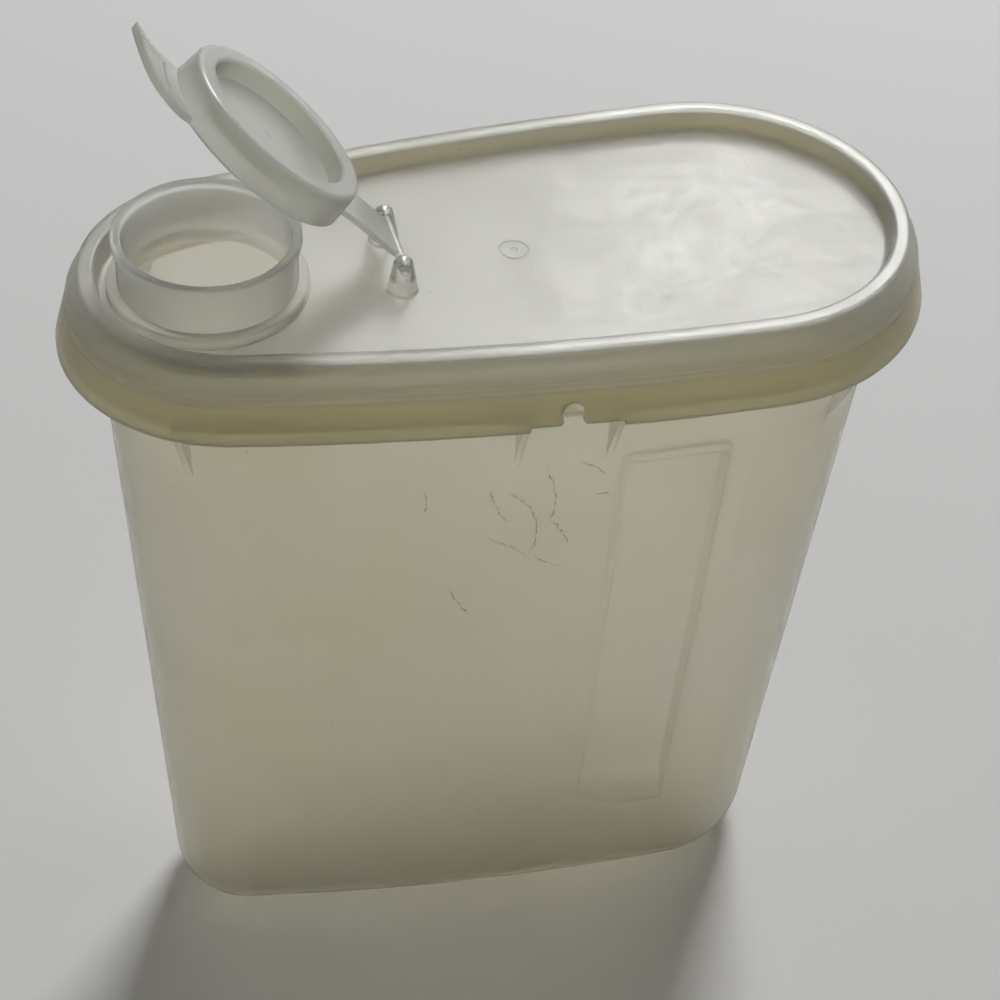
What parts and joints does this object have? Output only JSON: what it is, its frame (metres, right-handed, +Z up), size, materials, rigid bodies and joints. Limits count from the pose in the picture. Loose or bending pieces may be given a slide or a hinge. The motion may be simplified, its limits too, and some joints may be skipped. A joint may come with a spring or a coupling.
{
  "type": "cereal container",
  "caption": "Tall oval food container with a press-on lid, an open round pouring spout and a hinged flip cap with a thumb tab.",
  "frame": {"origin": "middle of the footprint, on the face that the container stands on", "axes": "+Z up, X along the long side with the spout at -X, Y across the narrow side with the notched skirt at -Y"},
  "size_m": [0.2214, 0.1084, 0.2981],
  "materials": {
    "container": "milky translucent polyethylene, waxy satin",
    "lid": "milky translucent polyethylene, satin with fine scratches",
    "flip_cap": "milky translucent polyethylene, satin"
  },
  "bodies": {
    "container": {"container": "container"},
    "lid": {"lid": "lid"},
    "flip_cap": {"flip_cap": "flip_cap"}
  },
  "joints": [
    {"name": "lid_lift", "type": "slide", "parent": "container", "child": "lid", "axis": [0, 0, 1], "range_m": [0, 0.04]},
    {"name": "cap_hinge", "type": "hinge", "parent": "lid", "child": "flip_cap", "pos_m": [-0.028, 0, 0.2325], "axis": [0, 1, 0], "range_deg": [-42, 130]}
  ]
}
